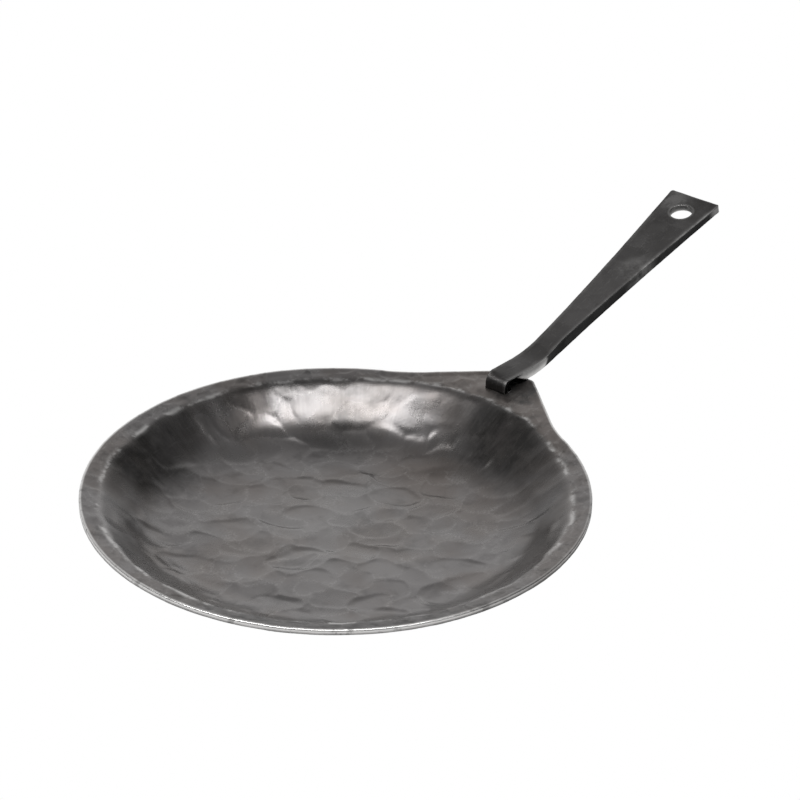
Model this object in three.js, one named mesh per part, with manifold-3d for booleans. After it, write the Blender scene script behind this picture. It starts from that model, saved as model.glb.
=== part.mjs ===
// A hand-forged camping frying pan whose handle hooks on and comes off for packing.
// Millimetres, +Z up. The origin is the centre of the flat base, on the surface that the pan stands on,
// and +X runs out from the centre along the tab and the handle.
import * as THREE from "three";
import { mergeVertices } from "three/addons/utils/BufferGeometryUtils.js";
import Module from "manifold-3d";

const wasm = await Module();
wasm.setup();

// Driving dimensions of the pan
const RIM_DIAMETER = 250; // across the outer edge of the lip
const SHEET = 3; // thickness of the dished sheet
const DEPTH = 24; // from the top of the rim down to the floor
const WALL_RUN = 36.5; // level distance that the wall takes from the lip to the flat floor
const LIP_WIDTH = 10.5; // the lip between the rim and the crease of the wall
const TAB_LIP_WIDTH = 4; // the same lip in front of the tab, where the crease runs further out
const TAB_CREASE_ANGLE = 38; // degrees either side of the tab over which the lip narrows
const LIP_DROP = 1.4; // how far the lip rolls down before the crease
const CREASE_BEND_RADIUS = 1; // inside of the bend from the wall into the lip, on the underside
const FLOOR_BEND_RADIUS = 24; // inside of the bend from the floor into the wall, in the dish
const RIM_CHAMFER = 0.6; // filed arris along the sheet's cut edge

// Driving dimensions of the tab and its slot
const TAB_LENGTH = 26; // from the rim out to the tab's blunt end
const TAB_END_WIDTH = 18; // across that end, before its corners are rounded
const TAB_SIDE_ANGLE = 48; // degrees between the tab's straight side and the handle's line
const TAB_ROOT_RADIUS = 80; // hollow sweep from the tab's side into the rim
const TAB_CORNER_RADIUS = 4;
const SLOT_SETBACK = 4; // from the rim's circle out to the slot's front edge
const SLOT_PLAY = 0.5; // length of slot left behind the hook as it swings through
const SLOT_CORNER_RADIUS = 1.5;

// Driving dimensions of the handle
const HANDLE_REACH = 182; // level distance from the toe's front face to the far end
const HANDLE_RISE = 13.7; // degrees that the straight grip climbs
const HOOK_PITCH = 2.7; // degrees that the hook's top falls from the toe to the bend
const BAR_WIDTH = 12.5; // across the hook and the root of the grip
const END_WIDTH = 32; // across the spread far end
const FLARE_POWER = 1.37; // how late the grip spreads: 1 is a straight taper
const HOOK_THICKNESS = 2.8; // the end of the bar, drawn out thin for the hook
const ROOT_THICKNESS = 7.2; // the grip just behind the bend
const END_THICKNESS = 4.3; // the spread far end
const TOE_HEIGHT = 8.2; // top of the toe above the tab
const TOE_BEND_RADIUS = 5.5; // outside of the bend at the top of the toe
const TONGUE_BEND_RADIUS = 0.5; // inside of the bend between the toe and the tongue
const GRIP_BEND_RADIUS = 80; // along the top of the bend into the grip
const HEEL_BEARING = 2.5; // length of heel that lies on the tab
const HEEL_STRAIGHT = 0.8; // length of full heel before the bend into the grip starts
const HEEL_RAMP = 9; // length over which the thin hook swells into the heel
const ROOT_TAPER = 10; // length of grip over which the heel thins into the root
const END_FLAT = 4; // length of the far end that keeps one thickness
const BAR_CHAMFER = 0.5; // dressed arrises of the bar
const END_CORNER = 2.2; // dressed corners of the far end
const HOLE_DIAMETER = 12; // hanging hole
const HOLE_FROM_END = 14.8; // from its centre to the far end

// Clearances between the handle and the pan
const HOOK_CLEARANCE = 0.3; // in front of the toe, above the tongue and under the heel
const SIDE_CLEARANCE = 0.4; // each side of the toe in its slot
const TIP_CLEARANCE = 1.6; // between the tongue's tip and the crease of the wall

// How finely round stretches are faceted
const RIM_STEP = 4; // degrees
const TAB_STEP = 3; // degrees, also along the straight sides of the tab
const SHEET_BEND_STEPS = 5; // round each bend of the sheet
const CORNER_STEPS = 3; // round each corner of the tab and of its slot
const BEND_STEP = 15; // degrees, along the bends of the bar
const BEND_LEAST_STEPS = 4;
const HOLE_SIDES = 28;

// Places that follow from the sizes above
const RIM_RADIUS = RIM_DIAMETER / 2;
const RIM_HEIGHT = DEPTH + SHEET;
const FLOOR_RADIUS = RIM_RADIUS - LIP_WIDTH - WALL_RUN;
const TAB_END = RIM_RADIUS + TAB_LENGTH;
const SLOT_FRONT = RIM_RADIUS + SLOT_SETBACK;
const TOE_FRONT = SLOT_FRONT + HOOK_CLEARANCE;
const TONGUE_TIP = RIM_RADIUS - TAB_LIP_WIDTH + TIP_CLEARANCE;
const HOOK_DROP = SHEET + HOOK_CLEARANCE; // from the tab's top to the tongue's top
// The handle swings on the slot's front edge, and the back of its hook sweeps this far behind that edge.
const HOOK_SWEEP = Math.hypot(HOOK_CLEARANCE + HOOK_THICKNESS, HOOK_DROP + HOOK_THICKNESS);
const SLOT_LENGTH = HOOK_SWEEP + SLOT_PLAY;
const SLOT_WIDTH = BAR_WIDTH + 2 * SIDE_CLEARANCE;

const radians = THREE.MathUtils.degToRad;

// A closed geometry as a solid that can be joined and cut.
function solidFrom(geometry) {
  const bare = geometry.clone();
  bare.deleteAttribute("normal");
  bare.deleteAttribute("uv");
  const merged = mergeVertices(bare, 1e-4);
  return new wasm.Manifold(
    new wasm.Mesh({
      numProp: 3,
      vertProperties: new Float32Array(merged.attributes.position.array),
      triVerts: new Uint32Array(merged.index.array),
    }),
  );
}

// A solid as a geometry with flat faces.
function geometryFrom(solid) {
  const mesh = solid.getMesh();
  const geometry = new THREE.BufferGeometry();
  geometry.setAttribute("position", new THREE.BufferAttribute(mesh.vertProperties, 3));
  geometry.setIndex(new THREE.BufferAttribute(mesh.triVerts, 1));
  const flat = geometry.toNonIndexed();
  flat.computeVertexNormals();
  return flat;
}

// A skin over rows of points: each row is joined to the next, and the caller adds the caps.
function indexedGeometry(points, triangles) {
  const geometry = new THREE.BufferGeometry().setFromPoints(points);
  geometry.setIndex(triangles.flat());
  return geometry;
}

// Plan outline of the pan, from the middle of the tab's end round to the same place: the rim's circle,
// and a tab with straight sides, rounded corners and a hollow sweep into the rim.
function panOutline() {
  const side = radians(TAB_SIDE_ANGLE);
  const along = new THREE.Vector2(-Math.cos(side), Math.sin(side)); // along the tab's side, to the rim
  const out = new THREE.Vector2(Math.sin(side), Math.cos(side));
  const corner = new THREE.Vector2(TAB_END, TAB_END_WIDTH / 2);

  // The sweep's centre lies one radius outside the side, and touches the rim's circle from outside.
  const start = corner.clone().addScaledVector(out, TAB_ROOT_RADIUS);
  const half = start.dot(along);
  const rest = start.lengthSq() - (RIM_RADIUS + TAB_ROOT_RADIUS) ** 2;
  const sideLength = -half - Math.sqrt(half * half - rest);
  const sweep = start.clone().addScaledVector(along, sideLength);
  const rimAngle = Math.atan2(sweep.y, sweep.x);

  // The corner's arc touches the end face and the side.
  const cut = TAB_CORNER_RADIUS * Math.tan((Math.PI / 2 - side) / 2);
  const arcCentre = new THREE.Vector2(TAB_END - TAB_CORNER_RADIUS, corner.y - cut);

  const outline = new THREE.Path();
  outline.moveTo(TAB_END, 0);
  outline.lineTo(TAB_END, arcCentre.y);
  outline.absarc(arcCentre.x, arcCentre.y, TAB_CORNER_RADIUS, 0, Math.PI / 2 - side, false);
  const sideEnd = corner.clone().addScaledVector(along, sideLength);
  outline.lineTo(sideEnd.x, sideEnd.y);
  outline.absarc(sweep.x, sweep.y, TAB_ROOT_RADIUS, -Math.PI / 2 - side, rimAngle - Math.PI, true);
  outline.absarc(0, 0, RIM_RADIUS, rimAngle, 2 * Math.PI - rimAngle, false);
  outline.absarc(sweep.x, -sweep.y, TAB_ROOT_RADIUS, Math.PI - rimAngle, Math.PI / 2 + side, true);
  outline.lineTo(arcCentre.x + TAB_CORNER_RADIUS * out.x, -arcCentre.y - TAB_CORNER_RADIUS * out.y);
  outline.absarc(arcCentre.x, -arcCentre.y, TAB_CORNER_RADIUS, side - Math.PI / 2, 0, false);
  outline.lineTo(TAB_END, 0);
  return outline;
}

// Points along the outline, closer together round the tab than round the rim.
function outlinePoints() {
  const points = [];
  for (const curve of panOutline().curves) {
    const onRim = curve.isEllipseCurve && curve.xRadius === RIM_RADIUS;
    const onCorner = curve.isEllipseCurve && curve.xRadius === TAB_CORNER_RADIUS;
    const seen = onRim
      ? curve.aEndAngle - curve.aStartAngle
      : curve.getPoint(0).angleTo(curve.getPoint(1)); // as an angle at the pan's centre
    const steps = onCorner ? CORNER_STEPS : Math.ceil(seen / radians(onRim ? RIM_STEP : TAB_STEP));
    for (let i = 0; i < steps; i++) points.push(curve.getPoint(i / steps));
  }
  return points;
}

// Width of the lip at an angle from the tab: it narrows smoothly in front of the tab.
function lipWidth(angle) {
  const share = Math.min(1, Math.abs(angle) / radians(TAB_CREASE_ANGLE));
  const nearTab = Math.cos((share * Math.PI) / 2) ** 2;
  return LIP_WIDTH + (TAB_LIP_WIDTH - LIP_WIDTH) * nearTab;
}

// The lip rolls down from the rim as a parabola, and the tab outside the rim is level.
const lipHeight = (radius) => RIM_HEIGHT - LIP_DROP * (Math.max(0, RIM_RADIUS - radius) / LIP_WIDTH) ** 2;
const lipSlope = (radius) => (2 * LIP_DROP * Math.max(0, RIM_RADIUS - radius)) / LIP_WIDTH ** 2;

// One radial section of the sheet as points of radius and height: up the inside from the flat floor to the
// rim or the tab's edge, round the cut edge, and back down the outside, one sheet's thickness away. The wall
// is the straight line that touches both the bend at the floor and the bend at the crease.
function sheetSection(angle, outerRadius) {
  const inside = [];
  const outside = [];
  const add = (radius, height, tilt) => {
    inside.push(new THREE.Vector2(radius, height));
    outside.push(new THREE.Vector2(radius + SHEET * Math.sin(tilt), height - SHEET * Math.cos(tilt)));
  };

  const creaseRadius = RIM_RADIUS - lipWidth(angle);
  const lipTilt = Math.atan(lipSlope(creaseRadius));
  const creaseBend = CREASE_BEND_RADIUS + SHEET;
  const creaseX = creaseRadius + creaseBend * Math.sin(lipTilt);
  const creaseZ = lipHeight(creaseRadius) - creaseBend * Math.cos(lipTilt);
  const floorZ = SHEET + FLOOR_BEND_RADIUS;
  const span = new THREE.Vector2(creaseX - FLOOR_RADIUS, creaseZ - floorZ);
  const wallTilt =
    Math.atan2(span.y, span.x) + Math.asin((creaseBend + FLOOR_BEND_RADIUS) / span.length());

  for (let i = 0; i <= SHEET_BEND_STEPS; i++) {
    const tilt = (wallTilt * i) / SHEET_BEND_STEPS;
    const radius = FLOOR_RADIUS + FLOOR_BEND_RADIUS * Math.sin(tilt);
    add(radius, floorZ - FLOOR_BEND_RADIUS * Math.cos(tilt), tilt);
  }
  for (let i = 0; i <= SHEET_BEND_STEPS; i++) {
    const tilt = THREE.MathUtils.lerp(wallTilt, lipTilt, i / SHEET_BEND_STEPS);
    add(creaseX - creaseBend * Math.sin(tilt), creaseZ + creaseBend * Math.cos(tilt), tilt);
  }
  const edge = outerRadius - RIM_CHAMFER;
  const land = RIM_RADIUS - 2 * RIM_CHAMFER;
  for (const radius of [(creaseRadius + land) / 2, land, edge])
    add(radius, lipHeight(radius), Math.atan(lipSlope(radius)));

  const edgeTop = new THREE.Vector2(outerRadius, RIM_HEIGHT - RIM_CHAMFER);
  const edgeBottom = new THREE.Vector2(outerRadius, RIM_HEIGHT - SHEET + RIM_CHAMFER);
  return [...inside, edgeTop, edgeBottom, ...outside.reverse()];
}

// The dished sheet with its tab: radial sections skinned round the centre, with the floor and base as fans.
function dishedSheet() {
  const rows = outlinePoints().map((edge) => {
    const angle = Math.atan2(edge.y, edge.x);
    return sheetSection(angle, edge.length()).map(
      (p) => new THREE.Vector3(p.x * Math.cos(angle), p.x * Math.sin(angle), p.y),
    );
  });
  const count = rows[0].length;
  const points = rows.flat();
  const floorCentre = points.push(new THREE.Vector3(0, 0, SHEET)) - 1;
  const baseCentre = points.push(new THREE.Vector3(0, 0, 0)) - 1;
  const triangles = [];
  rows.forEach((row, i) => {
    const a = i * count;
    const b = ((i + 1) % rows.length) * count;
    for (let k = 0; k < count - 1; k++)
      triangles.push([a + k, a + k + 1, b + k], [b + k, a + k + 1, b + k + 1]);
    triangles.push([floorCentre, a, b], [baseCentre, b + count - 1, a + count - 1]);
  });
  return indexedGeometry(points, triangles);
}

// The punched slot in the tab, as a cutter that reaches past both faces of the sheet.
function slotCutter() {
  const left = -SLOT_WIDTH / 2 + SLOT_CORNER_RADIUS;
  const right = SLOT_WIDTH / 2 - SLOT_CORNER_RADIUS;
  const front = SLOT_FRONT + SLOT_CORNER_RADIUS;
  const back = SLOT_FRONT + SLOT_LENGTH - SLOT_CORNER_RADIUS;
  const slot = new THREE.Shape();
  slot.absarc(front, left, SLOT_CORNER_RADIUS, Math.PI, 1.5 * Math.PI, false);
  slot.absarc(back, left, SLOT_CORNER_RADIUS, 1.5 * Math.PI, 2 * Math.PI, false);
  slot.absarc(back, right, SLOT_CORNER_RADIUS, 0, Math.PI / 2, false);
  slot.absarc(front, right, SLOT_CORNER_RADIUS, Math.PI / 2, Math.PI, false);
  const through = { depth: 3 * SHEET, bevelEnabled: false, curveSegments: CORNER_STEPS };
  return new THREE.ExtrudeGeometry(slot, through).translate(0, 0, RIM_HEIGHT - 2 * SHEET);
}

function makePan() {
  const solid = solidFrom(dishedSheet()).subtract(solidFrom(slotCutter()));
  const material = new THREE.MeshStandardMaterial({ color: 0x3f3d3b, roughness: 0.42, metalness: 0.9 });
  const mesh = new THREE.Mesh(geometryFrom(solid), material);
  mesh.name = "pan_body";
  return mesh;
}

// Walks along the outer face of the bar in the XZ plane, from the tongue's tip to the far end, and keeps
// each station's place and heading. Left turns climb.
class BarWalk {
  constructor(x, z) {
    this.at = new THREE.Vector2(x, z);
    this.heading = 0;
    this.stations = [];
    this.mark();
  }
  mark() {
    this.stations.push({ at: this.at.clone(), heading: this.heading });
  }
  straight(length, steps = 1) {
    const ahead = new THREE.Vector2(Math.cos(this.heading), Math.sin(this.heading));
    for (let i = 0; i < steps; i++) {
      this.at.addScaledVector(ahead, length / steps);
      this.mark();
    }
  }
  straightTo(x, steps) {
    this.straight((x - this.at.x) / Math.cos(this.heading), steps);
  }
  turn(angle, radius) {
    const lever = Math.sign(angle) * radius;
    const centreX = this.at.x - lever * Math.sin(this.heading);
    const centreZ = this.at.y + lever * Math.cos(this.heading);
    const steps = Math.max(BEND_LEAST_STEPS, Math.ceil(Math.abs(angle) / radians(BEND_STEP)));
    for (let i = 0; i < steps; i++) {
      this.heading += angle / steps;
      this.at.set(centreX + lever * Math.sin(this.heading), centreZ - lever * Math.cos(this.heading));
      this.mark();
    }
  }
}

// The stations of the whole bar: tongue, toe, thin hook, heel, bend and grip, each with the bar's half width
// and thickness there. The heel is as thick as it takes to lie on the tab.
function barStations() {
  const pitch = radians(HOOK_PITCH);
  const bend = radians(HANDLE_RISE + HOOK_PITCH);
  const heelFull = TAB_END - HEEL_BEARING;
  const heelStart = heelFull - HEEL_RAMP;
  const bendStart = heelFull + HEEL_STRAIGHT;
  const end = TOE_FRONT + HANDLE_REACH;

  const walk = new BarWalk(TONGUE_TIP, RIM_HEIGHT - HOOK_DROP);
  walk.straightTo(TOE_FRONT - TONGUE_BEND_RADIUS);
  walk.turn(Math.PI / 2, TONGUE_BEND_RADIUS);
  walk.straight(HOOK_DROP + TOE_HEIGHT - TONGUE_BEND_RADIUS - TOE_BEND_RADIUS);
  walk.turn(-Math.PI / 2 - pitch, TOE_BEND_RADIUS);
  walk.straightTo(heelStart, 2);
  walk.straightTo(heelFull, 2);
  walk.straightTo(bendStart);
  walk.turn(bend, GRIP_BEND_RADIUS);
  const gripStart = walk.at.x;
  const rootFull = gripStart + ROOT_TAPER;
  const taperEnd = end - END_FLAT;
  const cornerStart = end - END_CORNER;
  walk.straightTo(rootFull, 2);
  walk.straightTo(taperEnd, 12);
  walk.straightTo(cornerStart, 3);
  walk.straightTo(end);

  const heel = walk.stations.filter(({ at }) => at.x >= heelFull && at.x <= gripStart);
  const heelRoom = heel.map(({ at, heading }) => (at.y - RIM_HEIGHT - HOOK_CLEARANCE) / Math.cos(heading));
  const heelThickness = Math.min(...heelRoom);
  const places = [heelStart, heelFull, gripStart, rootFull, taperEnd];
  const sizes = [HOOK_THICKNESS, heelThickness, heelThickness, ROOT_THICKNESS, END_THICKNESS];
  const halfWidth = (x) => {
    const share = THREE.MathUtils.clamp((x - gripStart) / (end - gripStart), 0, 1);
    const cornerCut = Math.max(0, x - cornerStart);
    return BAR_WIDTH / 2 + ((END_WIDTH - BAR_WIDTH) / 2) * share ** FLARE_POWER - cornerCut;
  };
  return walk.stations.map(({ at, heading }) => ({
    at,
    heading,
    halfWidth: halfWidth(at.x),
    thickness: taper(at.x, places, sizes),
  }));
}

// A size that changes in straight tapers between places, and is even before the first and after the last.
function taper(x, places, sizes) {
  const next = places.findIndex((place) => x < place);
  if (next === 0) return sizes[0];
  if (next < 0) return sizes.at(-1);
  return THREE.MathUtils.mapLinear(x, places[next - 1], places[next], sizes[next - 1], sizes[next]);
}

// One cross-section of the bar: a rectangle with dressed arrises, hanging from the walked outer face.
function barSection({ at, heading, halfWidth, thickness }) {
  const w = halfWidth;
  const t = thickness;
  const c = BAR_CHAMFER;
  const across = [
    [c - w, 0],
    [w - c, 0],
    [w, c],
    [w, t - c],
    [w - c, t],
    [c - w, t],
    [-w, t - c],
    [-w, c],
  ];
  return across.map(
    ([y, depth]) =>
      new THREE.Vector3(at.x + depth * Math.sin(heading), y, at.y - depth * Math.cos(heading)),
  );
}

// The forged bar as a skin over its sections, closed by flat end faces.
function forgedBar(stations) {
  const rows = stations.map(barSection);
  const count = rows[0].length;
  const points = rows.flat();
  const triangles = [];
  for (let i = 0; i + 1 < rows.length; i++)
    for (let k = 0; k < count; k++) {
      const a = i * count;
      const b = a + count;
      const next = (k + 1) % count;
      triangles.push([a + k, b + k, a + next], [a + next, b + k, b + next]);
    }
  const last = (rows.length - 1) * count;
  for (let k = 1; k + 1 < count; k++) triangles.push([0, k, k + 1], [last, last + k + 1, last + k]);
  return indexedGeometry(points, triangles);
}

// The hanging hole, square to the grip's top face near its far end.
function holeCutter(farEnd) {
  const rise = radians(HANDLE_RISE);
  const cutter = new THREE.CylinderGeometry(
    HOLE_DIAMETER / 2,
    HOLE_DIAMETER / 2,
    4 * END_THICKNESS,
    HOLE_SIDES,
  );
  cutter.rotateX(Math.PI / 2).rotateY(-rise);
  const x = farEnd.x - HOLE_FROM_END * Math.cos(rise);
  const z = farEnd.y - HOLE_FROM_END * Math.sin(rise);
  return cutter.translate(x, 0, z);
}

function makeHandle() {
  const stations = barStations();
  const bar = solidFrom(forgedBar(stations));
  const solid = bar.subtract(solidFrom(holeCutter(stations.at(-1).at)));
  const material = new THREE.MeshStandardMaterial({ color: 0x373635, roughness: 0.48, metalness: 0.85 });
  const mesh = new THREE.Mesh(geometryFrom(solid), material);
  mesh.name = "hook_handle";
  return mesh;
}

const fryingPan = new THREE.Group();
fryingPan.add(makePan(), makeHandle());

export default fryingPan;
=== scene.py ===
"""Dresses the packed camping frying pan: its hammered dish, its forged hook-in handle and a plain studio.

Sizes are in metres, in the packed model's own frame: the origin is the middle of the pan's base, +Z is up
and +X runs along the tab and the handle.
"""

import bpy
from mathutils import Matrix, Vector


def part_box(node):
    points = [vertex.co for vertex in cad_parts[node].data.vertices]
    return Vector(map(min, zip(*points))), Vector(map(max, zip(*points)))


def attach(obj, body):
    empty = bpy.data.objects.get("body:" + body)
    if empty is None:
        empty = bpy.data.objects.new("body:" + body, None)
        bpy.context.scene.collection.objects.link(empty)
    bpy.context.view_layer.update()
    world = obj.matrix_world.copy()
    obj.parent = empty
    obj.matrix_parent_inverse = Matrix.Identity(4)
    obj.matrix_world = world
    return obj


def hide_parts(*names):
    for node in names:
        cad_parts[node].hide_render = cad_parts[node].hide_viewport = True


bl_info = {
    "name": "Camping frying pan",
    "version": (1, 0, 0),
    "blender": (4, 5, 0),
    "location": "View3D > Sidebar > Pan",
    "description": "Builds the hammered dish, the forged handle and the studio round the packed pan",
    "category": "Object",
}

from types import SimpleNamespace

import bpy
import numpy as np
from bpy.props import FloatProperty, FloatVectorProperty, PointerProperty
from mathutils import Matrix, Vector

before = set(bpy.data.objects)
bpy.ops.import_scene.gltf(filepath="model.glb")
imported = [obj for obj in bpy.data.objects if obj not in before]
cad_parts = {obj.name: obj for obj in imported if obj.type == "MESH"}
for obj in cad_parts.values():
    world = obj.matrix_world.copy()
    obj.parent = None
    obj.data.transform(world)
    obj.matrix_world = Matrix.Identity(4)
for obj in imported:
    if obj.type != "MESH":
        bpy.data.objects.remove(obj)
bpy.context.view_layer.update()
_, PAN_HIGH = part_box("pan_body")
BAR_LOW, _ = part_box("hook_handle")
MM = 0.001
FRAME_PIXELS = 800
SENSOR_MM = 36


def size(name, description, default):
    """A length that the user can change, in metres."""
    return FloatProperty(name=name, description=description, default=default, unit="LENGTH")


def angle(name, description, degrees):
    """An angle that the user can change, shown in degrees."""
    return FloatProperty(name=name, description=description, default=np.radians(degrees), unit="ROTATION")


def share(name, description, default):
    """A plain number or share that the user can change."""
    return FloatProperty(name=name, description=description, default=default)


def colour(name, description, default):
    """A linear colour that the user can change."""
    return FloatVectorProperty(
        name=name, description=description, default=default, subtype="COLOR", min=0, max=1
    )


class PanSizes(bpy.types.PropertyGroup):
    """Sizes of the dished sheet, its tab, its slot and its hammer marks."""

    rim_radius: size("Rim radius", "From the centre to the rim's edge", round(PAN_HIGH.y, 4))
    rim_height: size("Rim height", "Top of the rim above the base", PAN_HIGH.z)
    sheet: size("Sheet", "Thickness of the steel sheet", 3 * MM)
    wall_run: size("Wall run", "Level distance that the wall takes from floor to lip", 45.8 * MM)
    floor_bend: size("Floor bend", "Radius of the bend from the floor into the wall", 46 * MM)
    lip_width: size("Lip width", "Level width of the lip round the dish", 9.2 * MM)
    tab_lip_width: size("Lip at the tab", "Width of the lip in front of the tab", 4 * MM)
    tab_crease_angle: angle("Crease spread", "Angle over which the crease runs out to the tab", 38)
    lip_drop: size("Lip drop", "How far the lip rolls down to the crease", 1.4 * MM)
    crease_bend: size("Crease bend", "Radius of the bend from the wall into the lip", 10 * MM)
    wall_hollow: size("Wall hollow", "How far the wall is dished between floor and crease", 0.15 * MM)
    edge_round: size("Edge rounding", "Worn rounding along the sheet's cut edge", 0.4 * MM)
    tab_end: size("Tab end", "From the centre to the tab's blunt end", PAN_HIGH.x)
    tab_end_width: size("Tab end width", "Across the blunt end, before its corners are rounded", 18 * MM)
    tab_side_angle: angle("Tab side", "Angle between the tab's side and the handle's line", 48)
    tab_root_radius: size("Tab root", "Hollow sweep from the tab's side into the rim", 80 * MM)
    tab_corner_radius: size("Tab corner", "Rounding of the tab's corners", 4 * MM)
    slot_front: size("Slot front", "From the centre to the slot's front edge", 129 * MM)
    slot_length: size("Slot length", "Length of the slot along the handle's line", 6.95 * MM)
    slot_width: size("Slot width", "Width of the slot across the handle's line", 12.75 * MM)
    slot_corner: size("Slot corner", "Rounding of the slot's corners", 0.8 * MM)
    mark_pitch: size("Mark pitch", "Mean distance between hammer blows in the dish", 12 * MM)
    mark_depth: size("Mark depth", "Depth of a hammer mark in the dish", 0.66 * MM)
    blow_turn: angle("Blow turn", "Way that the hammer's longer side lies, from the handle's line", -52)
    blow_length: share("Blow length", "Length of a hammer mark for each unit of its width", 1.35)
    lip_mark_pitch: size("Lip mark pitch", "Mean distance between hammer blows on the lip", 8 * MM)
    lip_mark_depth: size("Lip mark depth", "Depth of a hammer mark on the lip", 0.50 * MM)
    under_mark_pitch: size("Mark pitch below", "Mean distance between blows on the underside", 15 * MM)
    under_mark_depth: size("Mark depth below", "Depth of a hammer mark on the underside", 0.2 * MM)
    crease_wander: size("Crease wander", "How far the crease strays from a true curve", 1.3 * MM)
    rim_wander: size("Rim wander", "How far the hand-cut edge strays inwards from a true circle", 0.2 * MM)


class HandleSizes(bpy.types.PropertyGroup):
    """Sizes of the forged bar, from the tongue's tip to the far end."""

    tongue_tip: size("Tongue tip", "From the pan's centre to the tongue's tip", BAR_LOW.x)
    toe_front: size("Toe front", "From the pan's centre to the toe's front face", 129.3 * MM)
    reach: size("Reach", "Level distance from the toe to the far end", 182 * MM)
    rise: angle("Rise", "Climb of the straight grip", 13.7)
    hook_pitch: angle("Hook pitch", "Fall of the hook's top towards the bend", 2.7)
    bar_width: size("Bar width", "Across the hook and the root of the grip", 12.5 * MM)
    end_width: size("End width", "Across the spread far end", 32 * MM)
    flare_power: share("Flare power", "How late the grip spreads; 1 is a straight taper", 1.37)
    hook_thickness: size("Hook thickness", "The drawn-out end of the bar", 2.8 * MM)
    root_thickness: size("Root thickness", "The bar just behind the bend", 7.2 * MM)
    end_thickness: size("End thickness", "The spread far end", 4.3 * MM)
    hook_drop: size("Hook drop", "From the tab's top down to the tongue's top", 3.3 * MM)
    toe_height: size("Toe height", "Top of the toe above the tab", 8.2 * MM)
    toe_bend: size("Toe bend", "Outside radius of the bend at the top of the toe", 5.5 * MM)
    tongue_bend: size("Tongue bend", "Inside radius of the bend under the tab", 0.5 * MM)
    grip_bend: size("Grip bend", "Radius along the top of the bend into the grip", 80 * MM)
    heel_bearing: size("Heel bearing", "Length of heel that lies on the tab", 2.5 * MM)
    heel_straight: size("Heel straight", "Length of full heel before the bend starts", 0.8 * MM)
    heel_ramp: size("Heel ramp", "Length over which the hook swells into the heel", 9 * MM)
    heel_gap: size("Heel gap", "Play between the heel and the tab", 0.3 * MM)
    root_taper: size("Root taper", "Length over which the heel thins into the root", 10 * MM)
    end_flat: size("End flat", "Length of the far end that keeps one thickness", 4 * MM)
    hook_roll: size("Hook roll", "How far the hook's top falls towards its right side", 1.6 * MM)
    arris: size("Arris", "Rounding along the bar's four worn edges", 0.5 * MM)
    end_corner: size("End corner", "Rounding of the far end's corners in plan", 2.2 * MM)
    hole_diameter: size("Hole", "Diameter of the hanging hole", 12 * MM)
    hole_from_end: size("Hole from end", "From the hole's centre to the far end", 14.8 * MM)
    hole_flare: size("Hole flare", "Rounding of the hole's edges", 0.5 * MM)
    mark_pitch: size("Mark pitch", "Mean distance between the smith's blows", 10 * MM)
    mark_depth: size("Mark depth", "Depth of a blow's mark", 0.12 * MM)


class SteelLook(bpy.types.PropertyGroup):
    """Colours of the oiled steel."""

    oiled: colour("Oiled steel", "Oil-blackened surface of the dish", (0.174, 0.167, 0.167))
    brown: colour("Temper brown", "Brown of the burnt-in oil near the tab", (0.138, 0.121, 0.112))
    # Soot colour; it also paints shade on the dish's walls, bend and tab, and on the handle's hook.
    soot_and_painted_shade: colour("Soot", "Dark oil left in the hollows", (0.034, 0.032, 0.031))
    # Bare steel colour; it also paints light on the near walls and glints along the crease.
    bare_and_painted_light: colour("Bare steel", "Rubbed edges where the oil has worn away", (0.76, 0.75, 0.74))
    scale: colour("Forge scale", "Dark scale on the bar's sides and underneath", (0.005, 0.005, 0.005))
    bar: colour("Bar steel", "Dressed top of the bar", (0.106, 0.102, 0.101))


class StudioSizes(bpy.types.PropertyGroup):
    """Camera and light."""

    azimuth: angle("View azimuth", "Heading of the camera; 0 looks along +Y", -52.125)
    elevation: angle("View elevation", "Height of the camera above the level", 29.104)
    roll: angle("Camera roll", "Turn of the camera about its own axis", 0.822)
    distance: size("Camera distance", "Depth of the rim's centre in front of the camera", 1559.8 * MM)
    lens: share("Lens", "Focal length in millimetres on a 36 mm frame", 144)
    rim_pixel_x: share("Rim centre, across", "Column of the rim's centre in an 800 pixel frame", 337.25)
    rim_pixel_y: share("Rim centre, down", "Row of the rim's centre in an 800 pixel frame", 490.4)
    floor_width: size("Floor width", "Width of the pale floor", 9.0)
    box_height: size("Softbox height", "Height of the softbox above the floor", 1.25)
    box_forward: size("Softbox forward", "From above the pan's centre towards the camera", 0.31)
    box_right: size("Softbox right", "From above the pan's centre to the camera's right", -0.34)
    box_width: size("Softbox width", "Width of the softbox", 1.8)
    box_depth: size("Softbox depth", "Depth of the softbox along the view", 0.32)
    box_power: share("Softbox power", "Power of the softbox in watts", 17.5)
    room: share("Room", "Brightness of the dim room round the white backdrop", 0.09)


class Socket:
    """An output of a shader node. Arithmetic on it adds Math nodes to its tree."""

    def __init__(self, nodes, output):
        self.nodes = nodes
        self.output = output

    def maths(self, operation, first, second):
        return self.nodes.add("ShaderNodeMath", {"operation": operation}, {0: first, 1: second})

    def __add__(self, other):
        return self.maths("ADD", self, other)

    def __radd__(self, other):
        return self.maths("ADD", other, self)

    def __sub__(self, other):
        return self.maths("SUBTRACT", self, other)

    def __rsub__(self, other):
        return self.maths("SUBTRACT", other, self)

    def __mul__(self, other):
        return self.maths("MULTIPLY", self, other)

    def __rmul__(self, other):
        return self.maths("MULTIPLY", other, self)

    def step(self, low, high):
        """0 below low, 1 above high and a smooth rise between them."""
        sockets = {"Value": self, "From Min": low, "From Max": high}
        return self.nodes.add("ShaderNodeMapRange", {"interpolation_type": "SMOOTHSTEP"}, sockets)


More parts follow.
